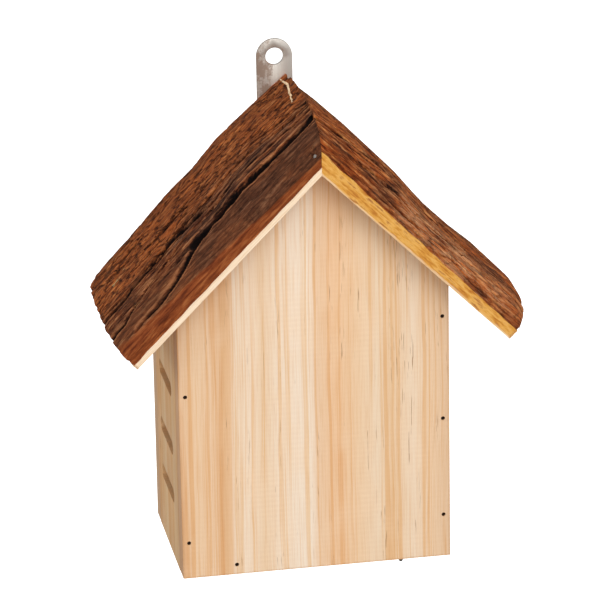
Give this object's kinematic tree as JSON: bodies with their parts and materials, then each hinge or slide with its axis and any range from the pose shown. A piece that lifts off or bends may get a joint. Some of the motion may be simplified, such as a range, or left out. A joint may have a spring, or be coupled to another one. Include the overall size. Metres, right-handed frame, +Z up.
{
  "type": "insect hotel",
  "caption": "Hanging insect hotel: gabled wooden box with side entry slots, bark-covered slab roof, drop floor and steel hanging plate.",
  "frame": {"origin": "centre of the hanging hole, on the wall side of the plate", "axes": "+Z up, +Y towards the wall, front towards -Y, +X to the right seen from the front"},
  "size_m": [0.2017, 0.0973, 0.249],
  "materials": {
    "board_wood": "planed, untreated fir",
    "slab_wood": "sawn, untreated",
    "bark": "natural furrowed bark",
    "plate_steel": "galvanised, brushed",
    "nail_steel": "dull, darkened",
    "screw_steel": "zinc plated"
  },
  "bodies": {
    "house": {"front_panel": "board_wood", "back_panel": "board_wood", "left_side_panel": "board_wood", "right_side_panel": "board_wood", "roof_board_left": "slab_wood", "roof_board_right": "slab_wood", "roof_bark_left": "bark", "roof_bark_right": "bark", "hanger_plate": "plate_steel", "hanger_screws": "screw_steel", "front_nails_left": "nail_steel", "front_nails_right": "nail_steel", "back_nails_left": "nail_steel", "back_nails_right": "nail_steel", "roof_nails_left": "nail_steel", "roof_nails_right": "nail_steel", "ridge_nails": "nail_steel", "floor_pivot_nails": "nail_steel"},
    "floor": {"floor_panel": "board_wood", "floor_pull_hook": "screw_steel"}
  },
  "joints": [
    {"name": "floor_hinge", "type": "hinge", "parent": "house", "child": "floor", "pos_m": [-0.0368, -0.042, -0.2263], "axis": [0, 1, 0], "range_deg": [0, 90]}
  ]
}
